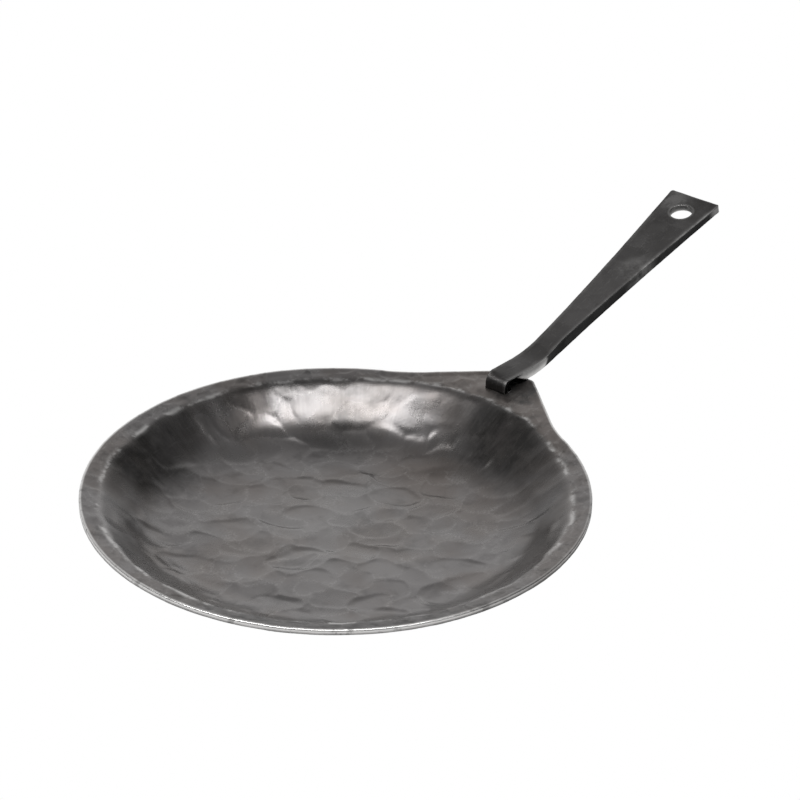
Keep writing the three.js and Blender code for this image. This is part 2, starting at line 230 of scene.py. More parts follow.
class Nodes:
    """The node tree of a material or of the world, emptied and ready for new nodes."""

    def __init__(self, owner):
        owner.use_nodes = True
        self.tree = owner.node_tree
        self.tree.nodes.clear()

    def add(self, kind, settings=None, sockets=None, output=0):
        """Adds a node, sets its settings, then fills or links its sockets, by name or number."""
        node = self.tree.nodes.new(kind)
        for name, value in (settings or {}).items():
            setattr(node, name, value)
        for name, value in (sockets or {}).items():
            if isinstance(value, Socket):
                self.tree.links.new(value.output, node.inputs[name])
            else:
                node.inputs[name].default_value = value
        return Socket(self, node.outputs[output]) if node.outputs else node

    def mix(self, factor, first, second):
        """A colour between two others."""
        colours = [c if isinstance(c, Socket) else (*c, 1) for c in (first, second)]
        sockets = {0: factor, 6: colours[0], 7: colours[1]}
        return self.add("ShaderNodeMix", {"data_type": "RGBA"}, sockets, output=2)

    def place(self):
        """A point's place in the frame of its piece."""
        return self.add("ShaderNodeTexCoord", output="Object")

    def attributes(self, *names):
        """Numbers that the mesh keeps at its points."""
        return [self.add("ShaderNodeAttribute", {"attribute_name": name}, output="Fac") for name in names]

    def noise(self, place, scale, detail=3.0, roughness=0.55):
        """Soft random numbers round 0.5, as many to the metre as the scale says."""
        sockets = {"Vector": place, "Scale": scale, "Detail": detail, "Roughness": roughness}
        return self.add("ShaderNodeTexNoise", {"noise_dimensions": "3D"}, sockets)

    def vector(self, operation, *values, output="Vector"):
        """Vector maths on one to three values."""
        return self.add("ShaderNodeVectorMath", {"operation": operation}, dict(enumerate(values)), output)

    def distance(self, place, other):
        """How far a place lies from a fixed one."""
        return self.vector("DISTANCE", place, other, output="Value")

    def spot(self, place, centre, inner, outer):
        """1 round a fixed place, falling smoothly to 0 between two distances from it."""
        return 1 - self.distance(place, centre).step(inner, outer)

    def stretched(self, place, scale):
        """Places scaled apart along each axis, so that a pattern on them is drawn out."""
        return self.add("ShaderNodeMapping", {"vector_type": "POINT"}, {"Vector": place, "Scale": scale})


def smooth_step(low, high, value):
    """0 below low, 1 above high, and 3t^2 - 2t^3 between them."""
    t = np.clip((value - low) / (high - low), 0, 1)
    return t * t * (3 - 2 * t)


def root(value):
    """Square root of a value, and 0 where it is negative."""
    return np.sqrt(np.maximum(0, value))


def waves(turn, seed, counts):
    """A wander from -1 to 1 round a circle: the mean of cosines with those counts and random phases."""
    random = np.random.default_rng(seed)
    phases = random.uniform(0, 2 * np.pi, len(counts))
    total = sum(np.cos(count * turn + phase) for count, phase in zip(counts, phases))
    return total / len(counts)


def wobbled(x, y, length, reach, seed):
    """Places moved along X and Y, each by half the sum of four slanting waves of about that length."""
    random = np.random.default_rng(seed)
    shifts = []
    for _ in range(2):
        total = np.zeros_like(x)
        for _ in range(4):
            way = random.uniform(0, 2 * np.pi)
            count = 2 * np.pi / (length * random.uniform(0.7, 1.4))
            phase = random.uniform(0, 2 * np.pi)
            total = total + np.sin(count * (x * np.cos(way) + y * np.sin(way)) + phase)
        shifts.append(reach * total / 2)
    return x + shifts[0], y + shifts[1]


def hammer_marks(x, y, pitch, depth, seed, lean=0.6, spread=0.46):
    """Overlapping hammer marks over the plane: their height, their ridges and each mark's own tone.

    Each cell of a square lattice holds one blow, moved at random inside it. A blow leaves a bowl: a shallow
    paraboloid that leans one way, sunk by its own depth, with a steep bank outside the hammer's face. Where
    bowls overlap the lowest surface stays, so that deep marks show whole and shallow ones as crescents. The
    height is 0 or less, the ridge is 1 where two bowls meet at the same height and falls to 0 inside them,
    and the tone is random by mark.
    """
    bank_steepness = 11
    round_off = 0.18 * depth
    ridge_fade = 0.22 * depth
    neighbours = range(-2, 3)
    spare_cells = 4

    random = np.random.default_rng(seed)
    half = int(np.ceil(max(np.abs(x).max(), np.abs(y).max()) / pitch)) + spare_cells
    cells = 2 * half
    x, y = wobbled(x, y, length=2.2 * pitch, reach=0.10 * pitch, seed=seed + 100)
    x, y = wobbled(x, y, length=0.8 * pitch, reach=0.035 * pitch, seed=seed + 200)
    centre = 0.5 + spread * random.uniform(-1, 1, (cells, cells, 2))
    tilt = lean * depth / pitch * random.normal(0, 1, (cells, cells, 2))
    sink = random.uniform(0.1, 1.0, (cells, cells))
    curve = random.uniform(0.25, 0.6, (cells, cells))
    face = random.uniform(0.55, 0.90, (cells, cells))
    tone = random.uniform(0, 1, (cells, cells))

    column = np.floor(x / pitch).astype(int)
    row = np.floor(y / pitch).astype(int)
    lowest = np.full(x.shape, np.inf)
    second = np.full(x.shape, np.inf)
    lowest_tone = np.zeros(x.shape)
    for i, j in [(i, j) for i in neighbours for j in neighbours]:
        cell = (column + i + half, row + j + half)
        dx = x / pitch - (column + i + centre[cell][..., 0])
        dy = y / pitch - (row + j + centre[cell][..., 1])
        away = np.hypot(dx, dy)
        bank = np.maximum(0, away - face[cell])
        bowl = curve[cell] * away**2 + bank_steepness * bank**2 - sink[cell]
        level = depth * bowl + pitch * (tilt[cell][..., 0] * dx + tilt[cell][..., 1] * dy)
        nearer = level < lowest
        second = np.where(nearer, lowest, np.minimum(second, level))
        lowest_tone = np.where(nearer, tone[cell], lowest_tone)
        lowest = np.where(nearer, level, lowest)

    overlap = np.maximum(0, round_off - (second - lowest))
    height = np.minimum(0, lowest - overlap**2 / (4 * round_off))
    ridge = np.exp(-(second - lowest) / ridge_fade)
    return height, ridge, lowest_tone


def disc_grid(rings):
    """Ring shares and angles of a square grid folded into a disc.

    Each nested square of the grid becomes a circle: its ring share is the larger of |u| and |v|, and the
    angle runs evenly along each side of the square, so that the quads stay about even in size.
    """
    line = np.linspace(-1, 1, 2 * rings + 1)
    u, v = np.meshgrid(line, line, indexing="ij")
    beside = np.abs(u) >= np.abs(v)
    ring = np.where(beside, u, v)
    divisor = np.where(ring == 0, 1, ring)
    turn = np.where(beside, np.pi / 4 * v / divisor, np.pi / 2 - np.pi / 4 * u / divisor)
    turn = turn + np.pi * (ring < 0)
    return np.abs(ring), np.arctan2(np.sin(turn), np.cos(turn))


def grid_faces(rows, columns):
    """Quads of a grid stored row by row, facing up where rows run along X and columns along Y."""
    index = np.arange(rows * columns).reshape(rows, columns)
    corners = index[:-1, :-1], index[1:, :-1], index[1:, 1:], index[:-1, 1:]
    return np.stack([c.ravel() for c in corners], axis=1)


def band_faces(first, second):
    """Quads between two closed rows of as many points each."""
    return np.stack([first, second, np.roll(second, -1), np.roll(first, -1)], axis=1)


def tube_faces(rows, count):
    """Faces of a tube of closed rows of points, stored row by row, with a flat face at each end."""
    index = np.arange(rows * count).reshape(rows, count)
    ahead = np.roll(index, -1, axis=1)
    skin = np.stack([index[:-1], ahead[:-1], ahead[1:], index[1:]], axis=-1).reshape(-1, 4)
    return [*skin.tolist(), index[0][::-1].tolist(), index[-1].tolist()]


def grid_border(side):
    """Indices round the border of a square grid, against the clock seen from above."""
    index = np.arange(side * side).reshape(side, side)
    return np.concatenate([index[:-1, 0], index[-1, :-1], index[:0:-1, -1], index[0, :0:-1]])


def edge_radius(pan, turn):
    """Distance from the centre to the sheet's cut edge at an angle from the tab.

    It is the rim's circle and, in front of the handle, the ray's distance to the tab's blunt end, to its
    rounded corner, to its straight side, or to the hollow sweep that touches the side and the circle.
    """
    off = np.abs(turn)
    near = np.minimum(off, np.pi / 3)
    ray = np.stack([np.cos(near), np.sin(near)], axis=-1)
    side = pan.tab_side_angle
    along = np.array([-np.cos(side), np.sin(side)])
    out = np.array([np.sin(side), np.cos(side)])
    corner = np.array([pan.tab_end, pan.tab_end_width / 2])

    start = corner + out * pan.tab_root_radius
    reach = start @ along
    rest = start @ start - (pan.rim_radius + pan.tab_root_radius) ** 2
    side_length = -reach - np.sqrt(reach**2 - rest)
    sweep = start + along * side_length
    cut = pan.tab_corner_radius * np.tan((np.pi / 2 - side) / 2)
    arc = np.array([pan.tab_end - pan.tab_corner_radius, corner[1] - cut])

    to_end = pan.tab_end / ray[..., 0]
    to_arc = ray @ arc + root((ray @ arc) ** 2 - arc @ arc + pan.tab_corner_radius**2)
    to_side = (corner @ out) / (ray @ out)
    to_sweep = ray @ sweep - root((ray @ sweep) ** 2 - sweep @ sweep + pan.tab_root_radius**2)
    joins = [[pan.tab_end, arc[1]], arc + out * pan.tab_corner_radius, corner + along * side_length, sweep]
    inside = [off < np.arctan2(y, x) for x, y in joins]
    return np.select(inside, [to_end, to_arc, to_side, to_sweep], pan.rim_radius)


def nearness_to_tab(pan, turn):
    """1 in front of the tab, falling as a squared cosine to 0 where the crease has its full distance."""
    return np.cos(np.pi / 2 * np.minimum(1, np.abs(turn) / pan.tab_crease_angle)) ** 2


def crease_radius(pan, turn):
    """Distance from the centre to the crease between wall and lip, with a hand-made wander."""
    narrowing = (pan.tab_lip_width - pan.lip_width) * nearness_to_tab(pan, turn)
    wander = pan.crease_wander * waves(turn, 11, (5, 9, 14, 23, 31, 44, 57))
    return pan.rim_radius - pan.lip_width - narrowing + wander


def floor_radius(pan):
    """Distance from the centre to the edge of the flat floor."""
    return pan.rim_radius - pan.lip_width - pan.wall_run


def sheet_height(pan, radius, turn, depth):
    """Height of the sheet at a radius and an angle, on the layer that lies that deep below its upper face.

    Outwards it is the flat floor, an arc up from it, the straight wall that touches this arc and the
    crease's arc, the crease's arc, and the lip, a parabola that is level at the rim and outside it.
    """
    crease = crease_radius(pan, turn)
    inset = pan.rim_radius - crease
    lip_tilt = np.arctan(2 * pan.lip_drop * inset / pan.lip_width**2)
    crease_x = crease + pan.crease_bend * np.sin(lip_tilt)
    crease_top = pan.rim_height - pan.lip_drop * (inset / pan.lip_width) ** 2
    crease_z = crease_top - pan.crease_bend * np.cos(lip_tilt)
    floor_x = floor_radius(pan)
    floor_z = pan.sheet + pan.floor_bend
    span_x = crease_x - floor_x
    span_z = crease_z - floor_z
    reach = np.hypot(span_x, span_z)
    tilt = np.arctan2(span_z, span_x) + np.arcsin((pan.crease_bend + pan.floor_bend) / reach)

    low = pan.floor_bend + depth
    high = pan.crease_bend - depth
    wall_x = floor_x + low * np.sin(tilt)
    wall_z = floor_z - low * np.cos(tilt)
    in_floor_bend = floor_z - root(low**2 - (radius - floor_x) ** 2)
    on_wall = wall_z + (radius - wall_x) * np.tan(tilt)
    in_crease = crease_z + root(high**2 - (radius - crease_x) ** 2)
    drop = np.maximum(0, pan.rim_radius - radius) / pan.lip_width
    on_lip = pan.rim_height - pan.lip_drop * drop**2 - depth
    stretches = [floor_x, wall_x, crease_x - high * np.sin(tilt), crease_x - high * np.sin(lip_tilt)]
    heights = [pan.sheet - depth, in_floor_bend, on_wall, in_crease]
    return np.select([radius < limit for limit in stretches], heights, on_lip)


def ring_radius(pan, ring, turn, edge):
    """Plan radius of a ring share: even stretches between the floor's edge, the crease and the cut edge.

    Rings are closer at the crease, and in front of the tab more of them lie outside it.
    """
    crease = crease_radius(pan, turn)
    crease_band = 1.6 * MM
    drawn_in = 0.045 * nearness_to_tab(pan, turn)
    shares = [0, 0.588, 0.868 - drawn_in, 0.905 - drawn_in, 1]
    radii = [0, floor_radius(pan), crease - crease_band, crease + crease_band, edge]
    radius = np.zeros(ring.shape)
    for k in range(len(shares) - 1):
        t = np.clip((ring - shares[k]) / (shares[k + 1] - shares[k]), 0, 1)
        radius = radius + t * (radii[k + 1] - radii[k])
    return radius


def layer(pan, ring, turn, edge, depth):
    """Points of one face of the sheet and its unit normals, upwards, before any hammering."""
    radius = ring_radius(pan, ring, turn, edge)
    height = sheet_height(pan, radius, turn, depth)
    step = 0.05 * MM
    ahead = sheet_height(pan, radius + step, turn, depth)
    behind = sheet_height(pan, radius - step, turn, depth)
    slope = np.arctan((ahead - behind) / (2 * step))
    outwards = np.stack([np.cos(turn), np.sin(turn), np.zeros_like(turn)], axis=-1)
    upwards = np.array([0, 0, 1.0])
    points = radius[..., None] * outwards + height[..., None] * upwards
    normals = np.cos(slope)[..., None] * upwards - np.sin(slope)[..., None] * outwards
    return radius, points, normals


def unrolled(pan, radius):
    """Length along the sheet from the centre out to a radius, summed up a section away from the tab."""
    table = np.linspace(0, pan.tab_end, 1600)
    heights = sheet_height(pan, table, np.full(table.shape, np.pi), 0)
    steps = np.hypot(np.diff(table), np.diff(heights))
    return np.interp(radius, table, np.concatenate([[0], np.cumsum(steps)]))


def wall_bow(pan, radius, turn):
    """1 half way up the wall, falling as a parabola to 0 at the floor's bend and at the crease."""
    inner = floor_radius(pan) + 0.4 * pan.floor_bend
    outer = crease_radius(pan, turn) - 0.5 * pan.crease_bend
    t = np.clip((radius - inner) / (outer - inner), 0, 1)
    return 4 * t * (1 - t)


def near_slot(pan, points):
    """1 at the slot, falling smoothly to 0 some millimetres away from it."""
    x = np.abs(points[..., 0] - pan.slot_front - pan.slot_length / 2) - pan.slot_length / 2
    y = np.abs(points[..., 1]) - pan.slot_width / 2
    away = np.hypot(np.maximum(0, x), np.maximum(0, y))
    return smooth_step(6 * MM, 1 * MM, away)


def hammered_face(pan, ring, turn, edge):
    """The upper face, hammered: its points, and the numbers that its steel keeps.

    Marks lie on the unrolled sheet. Dish and lip have their own marks, which trade places across the
    crease, and broad shallow blows lie under both. Marks are weaker on the upper wall, at the cut edge and
    round the slot. Heights are along the normal and never rise above the smooth sheet.
    """
    radius, points, normals = layer(pan, ring, turn, edge, 0)
    flat = unrolled(pan, radius)
    x = flat * np.cos(turn)
    y = flat * np.sin(turn)
    long_x = flat * np.cos(turn - pan.blow_turn) / pan.blow_length
    long_y = flat * np.sin(turn - pan.blow_turn)
    dish, dish_ridge, dish_tone = hammer_marks(long_x, long_y, pan.mark_pitch, pan.mark_depth, seed=22)
    lip, lip_ridge, lip_tone = hammer_marks(x, y, pan.lip_mark_pitch, pan.lip_mark_depth, seed=8)
    broad, _, broad_tone = hammer_marks(x, y, 3 * pan.mark_pitch, 1.1 * pan.mark_depth, seed=3)
    past_floor = radius - floor_radius(pan)
    past = radius - crease_radius(pan, turn)
    on_lip = smooth_step(-1.5 * MM, 1.5 * MM, past)
    wall = smooth_step(10 * MM, 26 * MM, past_floor) * (1 - on_lip)
    calm = smooth_step(24 * MM, 36 * MM, past_floor) * (1 - on_lip)
    by_slot = near_slot(pan, points)
    quiet = 1 - 0.75 * smooth_step(-5 * MM, -1 * MM, radius - edge) - 0.25 * by_slot
    quiet = quiet * (1 - 0.85 * by_slot)
    dish = dish * (1 - 0.65 * calm)
    height = dish + (lip - dish) * on_lip + broad * (1 - 0.7 * on_lip - 0.3 * calm)
    height = height * quiet - pan.wall_hollow * wall_bow(pan, radius, turn)
    kept = {
        "ridge": dish_ridge + (lip_ridge - dish_ridge) * on_lip,
        "tone": 0.7 * (dish_tone + (lip_tone - dish_tone) * on_lip) + 0.3 * broad_tone,
        "rim": smooth_step(-1.2 * MM, 0, radius - edge),
        "crease": np.exp(-((past / (1.3 * MM)) ** 2)),
        "wall": wall,
        "brim": smooth_step(-15 * MM, -3 * MM, past) * (1 - on_lip),
        "lip": on_lip,
        "underside": 0,
    }
    return points + height[..., None] * normals, kept


def sheet_faces(rings):
    """Faces of the sheet's skin: upper face, rounding, cut edge, its join to the underside, and underside.

    The join is a strip of triangles and quads that takes the edge's points two by two.
    """
    side = 2 * rings + 1
    border = grid_border(side)
    upper = side**2 + np.arange(border.size)
    lower = upper + border.size
    under_start = lower[-1] + 1
    below = under_start + grid_border(rings + 1)
    even = lower[0::2]
    odd = lower[1::2]
    parts = [
        grid_faces(side, side),
        band_faces(border, upper),
        band_faces(upper, lower),
        np.stack([even, below, odd], axis=1),
        np.stack([odd, below, np.roll(below, -1), np.roll(even, -1)], axis=1),
        under_start + grid_faces(rings + 1, rings + 1)[:, ::-1],
    ]
    return [face for part in parts for face in part.tolist()]


def hammered_sheet(pan, rings=136):
    """The whole sheet as one closed skin: hammered upper face, rounded cut edge and quieter underside.

    The upper face is a folded square grid. The underside is the same grid with every second line left out.
    The cut edge is two rings of points, a rounding in from each face.
    """
    ring, turn = disc_grid(rings)
    wander = pan.rim_wander * (0.5 + 0.5 * waves(turn, 21, (2, 3, 5, 8, 13, 29, 47, 71)))
    edge = edge_radius(pan, turn) - wander
    top, kept = hammered_face(pan, ring, turn, edge - pan.edge_round)
    border = grid_border(2 * rings + 1)

    under_edge = edge[::2, ::2] - pan.edge_round
    _, under, normals = layer(pan, ring[::2, ::2], turn[::2, ::2], under_edge, pan.sheet)
    x, y, _ = np.moveaxis(under, -1, 0)
    pitch, depth = pan.under_mark_pitch, pan.under_mark_depth
    marks, under_ridge, under_tone = hammer_marks(x, y, pitch, depth, seed=17)
    marks = marks * (1 - near_slot(pan, under))
    under = under - marks[..., None] * normals

    rim_turn = turn.ravel()[border]
    rim_radius = edge.ravel()[border]
    around = np.stack([rim_radius * np.cos(rim_turn), rim_radius * np.sin(rim_turn)], axis=-1)
    top_z = top.reshape(-1, 3)[border, 2] - pan.edge_round
    low_z = top_z - pan.sheet + 2 * pan.edge_round
    upper_edge = np.concatenate([around, top_z[:, None]], axis=1)
    lower_edge = np.concatenate([around, low_z[:, None]], axis=1)

    points = np.concatenate([top.reshape(-1, 3), upper_edge, lower_edge, under.reshape(-1, 3)])

    beyond_top = {
        "ridge": (0, 0, 0.6 * under_ridge),
        "tone": (0.5, 0.5, under_tone),
        "rim": (1, 0.8, 0),
        "lip": (1, 1, 0),
        "underside": (0, 0.4, 1),
    }
    sizes = (ring.size, border.size, border.size, x.size)
    attributes = {}
    for key, on_top in kept.items():
        stretches = zip((on_top, *beyond_top.get(key, (0, 0, 0))), sizes)
        attributes[key] = np.concatenate([np.broadcast_to(np.ravel(value), n) for value, n in stretches])
    return points, sheet_faces(rings), attributes


def rounded_slot(pan, corner_steps=5):
    """The slot as a cutter: a rectangle with round corners, carried up through the tab."""
    corner_turns = np.linspace(0, np.pi / 2, corner_steps)
    turns = np.concatenate([corner_turns + quarter * np.pi / 2 for quarter in range(4)])
    right = np.repeat([1, -1, -1, 1], corner_steps)
    left = np.repeat([1, 1, -1, -1], corner_steps)
    middle = pan.slot_front + pan.slot_length / 2
    x = middle + right * (pan.slot_length / 2 - pan.slot_corner) + pan.slot_corner * np.cos(turns)
    y = left * (pan.slot_width / 2 - pan.slot_corner) + pan.slot_corner * np.sin(turns)
    levels = pan.rim_height + np.array([-2, 1]) * pan.sheet
    outlines = [np.column_stack([x, y, np.full(x.size, level)]) for level in levels]
    return np.concatenate(outlines), tube_faces(len(levels), x.size)


def bar_line(bar, tab_end, tab_height, fine_steps=12000):
    """The bar's top line in the XZ plane, walked in fine steps: places, headings and the grip's start.

    Its stretches are the tongue, the bend under the tab, the toe, the bend over it, the falling hook, the
    bend into the grip, and the grip. The heading turns evenly along each bend, and places are its summed
    steps.
    """
    bend = bar.rise + bar.hook_pitch
    quarter = np.pi / 2
    bend_start = tab_end - bar.heel_bearing + bar.heel_straight
    hook_start = bar.toe_front + bar.toe_bend * (1 + np.sin(bar.hook_pitch))
    grip_start = bend_start + bar.grip_bend * (np.sin(bar.rise) + np.sin(bar.hook_pitch))
    far_end = bar.toe_front + bar.reach
    lengths = [
        bar.toe_front - bar.tongue_bend - bar.tongue_tip,
        bar.tongue_bend * quarter,
        bar.hook_drop + bar.toe_height - bar.tongue_bend - bar.toe_bend,
        bar.toe_bend * (quarter + bar.hook_pitch),
        (bend_start - hook_start) / np.cos(bar.hook_pitch),
        bar.grip_bend * bend,
        (far_end - grip_start) / np.cos(bar.rise),
    ]
    turns = [0, quarter, 0, -quarter - bar.hook_pitch, 0, bend, 0]
    ends = np.concatenate([[0], np.cumsum(lengths)])
    headings = np.concatenate([[0], np.cumsum(turns)])
    along = np.linspace(0, ends[-1], fine_steps)
    heading = np.interp(along, ends, headings)
    middle = (heading[1:] + heading[:-1]) / 2
    steps = np.diff(along)
    x = bar.tongue_tip + np.concatenate([[0], np.cumsum(steps * np.cos(middle))])
    z = tab_height - bar.hook_drop + np.concatenate([[0], np.cumsum(steps * np.sin(middle))])
    return along, x, z, heading, grip_start


def section_outline(across_steps=22, side_steps=7, corner_steps=5):
    """A rounded rectangle, once round from the top's right end: flat shares and corner directions.

    A point lies at flat share times half the flat, plus the corner's direction times the rounding.
    """
    run = np.linspace(1, -1, across_steps, endpoint=False)[1:]
    fall = np.linspace(1, -1, side_steps, endpoint=False)[1:]
    arc = np.linspace(0, np.pi / 2, corner_steps)
    right_top = [np.ones(corner_steps), np.ones(corner_steps), np.cos(arc), np.sin(arc)]
    top = [run, np.ones(run.size), np.zeros(run.size), np.ones(run.size)]
    left_top = [-np.ones(corner_steps), np.ones(corner_steps), -np.sin(arc), np.cos(arc)]
    left = [-np.ones(fall.size), fall, -np.ones(fall.size), np.zeros(fall.size)]
    half = np.concatenate([np.stack(part, axis=1) for part in (right_top, top, left_top, left)])
    return np.concatenate([half, -half])


def end_rounding(radius, to_end):
    """How far a quarter circle of that radius cuts in, at a distance from the bar's end."""
    return radius - root(radius**2 - np.maximum(0, radius - to_end) ** 2)


def bar_stations(bar, tab_end, tab_height, spacing=0.6 * MM, tip_steps=6):
    """Places along the bar, closer at its ends, and the line, thickness and half width there, as columns.

    Thickness tapers between the hook, the heel, the root and the far end, and the heel fills the room over
    the tab. The grip spreads by a power of its length.
    """
    fine, line_x, line_z, line_heading, grip_start = bar_line(bar, tab_end, tab_height)
    length = fine[-1]
    tip = bar.end_corner * (1 - np.cos(np.linspace(0, np.pi / 2, tip_steps)))
    body = np.arange(bar.end_corner, length - bar.end_corner, spacing)
    along = np.concatenate([tip, body[1:], length - tip[::-1]])[:, None]
    x = np.interp(along, fine, line_x)
    heel_full = tab_end - bar.heel_bearing
    on_heel = (line_x >= heel_full) & (line_x <= grip_start)
    room = (line_z - tab_height - bar.heel_gap) / np.cos(line_heading)
    heel = room[on_heel].min()
    far_end = bar.toe_front + bar.reach
    tapers = [
        (heel_full - bar.heel_ramp, bar.hook_thickness),
        (heel_full, heel),
        (grip_start, heel),
        (grip_start + bar.root_taper, bar.root_thickness),
        (far_end - bar.end_flat, bar.end_thickness),
    ]
    grip_share = np.clip((x - grip_start) / (far_end - grip_start), 0, 1)
    spread = (bar.end_width - bar.bar_width) / 2 * grip_share**bar.flare_power
    return SimpleNamespace(
        along=along,
        share=along / length,
        to_end=np.minimum(along, length - along),
        x=x,
        z=np.interp(along, fine, line_z),
        heading=np.interp(along, fine, line_heading),
        thickness=np.interp(x, *zip(*tapers)),
        half_width=bar.bar_width / 2 + spread,
        grip_share=grip_share,
        past_toe=x - bar.toe_front,
        past_heel=x - heel_full,
        past_bend=x - grip_start,
        past_end=x - far_end,
    )


def bar_wear(at, across, above):
    """Where the bar is worn on its arrises, black with scale, or filed bright, each from 0 to 1.

    All arrises and both ends are worn, and the grip's right arris most. Scale covers the sides and the
    underside. Filed are a chevron on the heel's sides, two arrises of the hook and the right side of the
    far end.
    """
    _, flat_n, corner_y, corner_n = section_outline().T
    on_arris = np.maximum(2 * np.abs(corner_y * corner_n), smooth_step(1.2 * MM, 0, at.to_end))
    by_arris = smooth_step(2.4 * MM, 0.2 * MM, at.half_width - np.abs(across))
    hand_side = 0.6 + 0.9 * (across < 0) * smooth_step(0.40, 0.60, at.grip_share)
    side = corner_y**2
    on_side = smooth_step(0.3, 0.9, side)
    chevron = 0.7 * np.abs(above)
    heel = smooth_step(-8 * MM, -3 * MM, at.past_heel + chevron)
    heel = heel * smooth_step(-4.5 * MM, -6.5 * MM, at.past_bend + chevron)
    heel = heel * on_side * (0.35 + 0.5 * smooth_step(0.6, -1, flat_n))
    hook = smooth_step(2 * MM, 8 * MM, at.past_toe) * smooth_step(-3 * MM, -7 * MM, at.past_bend)
    hook = 0.5 * hook * np.maximum(0, -2 * corner_y * corner_n)
    end = 0.3 * smooth_step(-10 * MM, -4 * MM, at.past_end) * on_side * (corner_y < 0)
    return {
        "worn_edge": np.maximum(on_arris, hand_side * by_arris * smooth_step(0.5, 0.9, corner_n)),
        "scale": np.maximum(side, smooth_step(0.2, -0.4, corner_n)),
        "filed": np.maximum(np.maximum(heel, hook), end),
    }


def forged_bar(bar, tab_end, tab_height):
    """The whole bar as one closed skin: a rounded rectangle carried along the bent top line.

    The arrises are rounded, more in some places than in others, and the hook's top rolls to its right. The
    smith's marks lie on the bar's skin, measured along it and round it, and only ever cut into it.
    """
    at = bar_stations(bar, tab_end, tab_height)
    flat_y, flat_n, corner_y, corner_n = section_outline().T
    wear = 0.5 + 0.5 * waves(at.share * 2 * np.pi, 31, (3, 7, 12, 19, 28, 41))
    rounding = bar.arris * (0.7 + 0.6 * wear)
    half_flat = at.half_width - end_rounding(bar.end_corner, at.to_end) - rounding
    half_side = at.thickness / 2 - end_rounding(bar.arris, at.to_end) - rounding
    across = flat_y * half_flat + corner_y * rounding
    above = flat_n * half_side + corner_n * rounding
    roll = smooth_step(0, 5 * MM, at.past_toe) * smooth_step(10 * MM, -7 * MM, at.past_bend)
    above = above - bar.hook_roll * roll * (1 - flat_y) / 2 * (1 + flat_n) / 2

    steps = [np.diff(part, axis=1, prepend=part[:, -1:]) for part in (across, above)]
    around = np.cumsum(np.hypot(*steps), axis=1)
    run = np.broadcast_to(at.along, around.shape)
    marks, ridge, tone = hammer_marks(run, around, bar.mark_pitch, bar.mark_depth, seed=41, lean=0.5)
    broad, _, _ = hammer_marks(run, around, 2.6 * bar.mark_pitch, 1.3 * bar.mark_depth, seed=44)
    past_tab = smooth_step(0, 12 * MM, at.x - tab_end)
    plain = 1 - np.abs(2 * corner_y * corner_n)
    cut_in = (marks + broad) * (0.25 + 0.75 * past_tab) * (0.3 + 0.7 * plain)
    across = across + corner_y * cut_in
    above = above + corner_n * cut_in

    depth = at.thickness / 2 - above
    x = at.x + depth * np.sin(at.heading)
    z = at.z - depth * np.cos(at.heading)
    points = np.stack([x, across, z], axis=-1).reshape(-1, 3)
    kept = {"ridge": ridge, "tone": tone, **bar_wear(at, across, above)}
    attributes = {key: np.broadcast_to(values, across.shape).ravel() for key, values in kept.items()}
    return points, tube_faces(*across.shape), attributes


def hole_place(bar, tab_end, tab_height):
    """Middle of the hanging hole, half way through the grip, and the grip's own directions."""
    _, line_x, line_z, _, _ = bar_line(bar, tab_end, tab_height)
    ahead = np.array([np.cos(bar.rise), 0, np.sin(bar.rise)])
    up = np.array([-np.sin(bar.rise), 0, np.cos(bar.rise)])
    far_end = np.array([line_x[-1], 0, line_z[-1]])
    return far_end - bar.hole_from_end * ahead - bar.end_thickness / 2 * up, ahead, up


def hole_cutter(bar, tab_end, tab_height, sides=56):
    """The hanging hole as a cutter: a circle carried square through the grip, flaring out at both faces."""
    centre, ahead, up = hole_place(bar, tab_end, tab_height)
    left = np.array([0, 1.0, 0])
    half = bar.end_thickness / 2
    flare_start = 0.55
    levels = np.array([-2, -1, -0.85, -0.7, -0.5, 0, 0.5, 0.7, 0.85, 1, 2]) * half
    flare = np.maximum(0, np.abs(levels) / half - flare_start) / (1 - flare_start)
    radius = bar.hole_diameter / 2 + bar.hole_flare * np.minimum(flare, 2.5) ** 2
    turn = np.linspace(0, 2 * np.pi, sides, endpoint=False)
    circle = np.cos(turn)[:, None] * ahead + np.sin(turn)[:, None] * left
    points = centre + levels[:, None, None] * up + radius[:, None, None] * circle
    return points.reshape(-1, 3), tube_faces(len(levels), sides)


def new_piece(name, points, faces, attributes=None):
    """A smooth mesh object at the origin, with its numbers kept at its points."""
    mesh = bpy.data.meshes.new(name)
    mesh.from_pydata(points.tolist(), [], faces)
    for key, values in (attributes or {}).items():
        mesh.attributes.new(key, "FLOAT", "POINT").data.foreach_set("value", values.astype(np.float32))
    mesh.shade_smooth()
    piece = bpy.data.objects.new(name, mesh)
    bpy.context.scene.collection.objects.link(piece)
    return piece


def cut_away(piece, points, faces):
    """Cuts a closed shape out of a piece and keeps the result as the piece's own mesh."""
    cutter = new_piece("cutter", points, faces)
    modifier = piece.modifiers.new("Cut", "BOOLEAN")
    modifier.operation = "DIFFERENCE"
    modifier.solver = "EXACT"
    modifier.object = cutter
    evaluated = piece.evaluated_get(bpy.context.evaluated_depsgraph_get())
    mesh = bpy.data.meshes.new_from_object(evaluated)
    piece.modifiers.clear()
    old = piece.data
    piece.data = mesh
    bpy.data.meshes.remove(old)
    cut_mesh = cutter.data
    bpy.data.objects.remove(cutter)
    bpy.data.meshes.remove(cut_mesh)


def steel_grain(nodes, place):
    """Fine grain and long scratches of worked steel, each a number from 0 to 1."""
    grain = nodes.noise(place, 900, detail=4)
    drawn_out = nodes.stretched(place, (90, 900, 400))
    scratch = nodes.noise(drawn_out, 1, detail=2).step(0.62, 0.72)
    return grain, scratch


